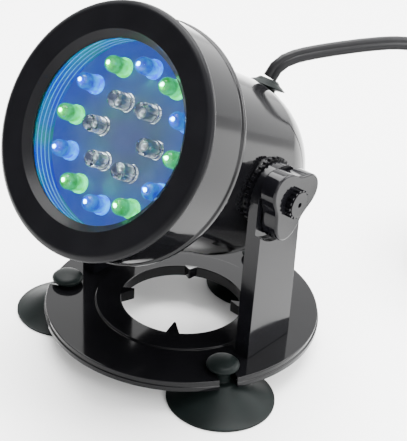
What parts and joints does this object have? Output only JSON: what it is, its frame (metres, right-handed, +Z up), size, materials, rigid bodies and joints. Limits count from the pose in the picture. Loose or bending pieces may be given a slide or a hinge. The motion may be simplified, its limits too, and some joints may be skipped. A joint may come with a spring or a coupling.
{
  "type": "underwater pond light",
  "caption": "Tilting underwater spotlight with a bullet-shaped head between two arms on a round plate with suction cups and a low-voltage lead.",
  "frame": {"origin": "centre of the light's bounding box in X and Y, on the surface the suction cups stand on, without the lead", "axes": "+Z up; the lamp faces -Y, tilted up from it; +X is the right-hand side seen from behind the lamp"},
  "size_m": [0.1493, 0.2103, 0.1177],
  "materials": {
    "gloss_black": "glossy moulded plastic",
    "satin_black": "satin moulded plastic",
    "rubber": "smooth dark rubber",
    "soft_seal": "matt seal rubber",
    "clear_plastic": "clear polished plastic",
    "led_epoxy": "clear epoxy",
    "circuit_board": "solder-masked board",
    "chip_black": "moulded chip package",
    "capacitor_sleeve": "shrink sleeve",
    "steel": "plain stainless steel",
    "brass": "turned brass",
    "cable_jacket": "flexible cable jacket",
    "wire_red": "thin insulated wire",
    "wire_black": "thin insulated wire"
  },
  "bodies": {
    "base": {"base_disc": "gloss_black", "suction_cup_front_right": "rubber", "suction_cup_front_left": "rubber", "suction_cup_rear": "rubber", "arm_right": "satin_black", "arm_left": "satin_black", "arm_screw_right": "steel", "arm_screw_left": "steel", "cable": "cable_jacket", "cable_coil": "cable_jacket", "connector_body": "satin_black", "connector_pin_1": "brass", "connector_pin_2": "brass"},
    "head": {"front_housing": "gloss_black", "rear_housing": "gloss_black", "seam_gasket": "soft_seal", "lens": "clear_plastic", "lens_gasket": "soft_seal", "led_board": "circuit_board", "led_outer_01": "led_epoxy", "led_outer_02": "led_epoxy", "led_outer_03": "led_epoxy", "led_outer_04": "led_epoxy", "led_outer_05": "led_epoxy", "led_outer_06": "led_epoxy", "led_outer_07": "led_epoxy", "led_outer_08": "led_epoxy", "led_outer_09": "led_epoxy", "led_outer_10": "led_epoxy", "led_outer_11": "led_epoxy", "led_outer_12": "led_epoxy", "led_inner_01": "led_epoxy", "led_inner_02": "led_epoxy", "led_inner_03": "led_epoxy", "led_inner_04": "led_epoxy", "led_inner_05": "led_epoxy", "led_inner_06": "led_epoxy", "driver_board": "circuit_board", "bridge_rectifier": "chip_black", "controller_chip": "chip_black", "smoothing_capacitor": "capacitor_sleeve", "wire_positive": "wire_red", "wire_negative": "wire_black", "housing_screw_1": "steel", "housing_screw_2": "steel", "housing_screw_3": "steel", "pivot_insert_right": "brass", "pivot_insert_left": "brass", "detent_ring_right": "satin_black", "detent_ring_left": "satin_black", "cable_grommet": "rubber"},
    "front_ring": {"bezel": "satin_black"},
    "connector_ring": {"connector_nut": "satin_black"},
    "right_knob": {"knob_right": "satin_black", "knob_screw_right": "steel"},
    "left_knob": {"knob_left": "satin_black", "knob_screw_left": "steel"}
  },
  "joints": [
    {"name": "head_tilt", "type": "hinge", "parent": "base", "child": "head", "pos_m": [0, 0.00093, 0.0635], "axis": [-1, 0, 0], "range_deg": [-44, 61], "deforming": ["cable"]},
    {"name": "front_ring_turn", "type": "hinge", "parent": "head", "child": "front_ring", "pos_m": [0, -0.03581, 0.08386], "axis": [0, -0.8746, 0.4848], "range_deg": [0, 540]},
    {"name": "right_knob_turn", "type": "hinge", "parent": "head", "child": "right_knob", "pos_m": [0.037, 0.00093, 0.0635], "axis": [1, 0, 0], "range_deg": [0, 720]},
    {"name": "left_knob_turn", "type": "hinge", "parent": "head", "child": "left_knob", "pos_m": [-0.037, 0.00093, 0.0635], "axis": [-1, 0, 0], "range_deg": [0, 720]},
    {"name": "connector_ring_turn", "type": "hinge", "parent": "base", "child": "connector_ring", "pos_m": [0.0892, 0.11693, 0.0261], "axis": [0, -1, 0], "range_deg": [0, 720]}
  ]
}
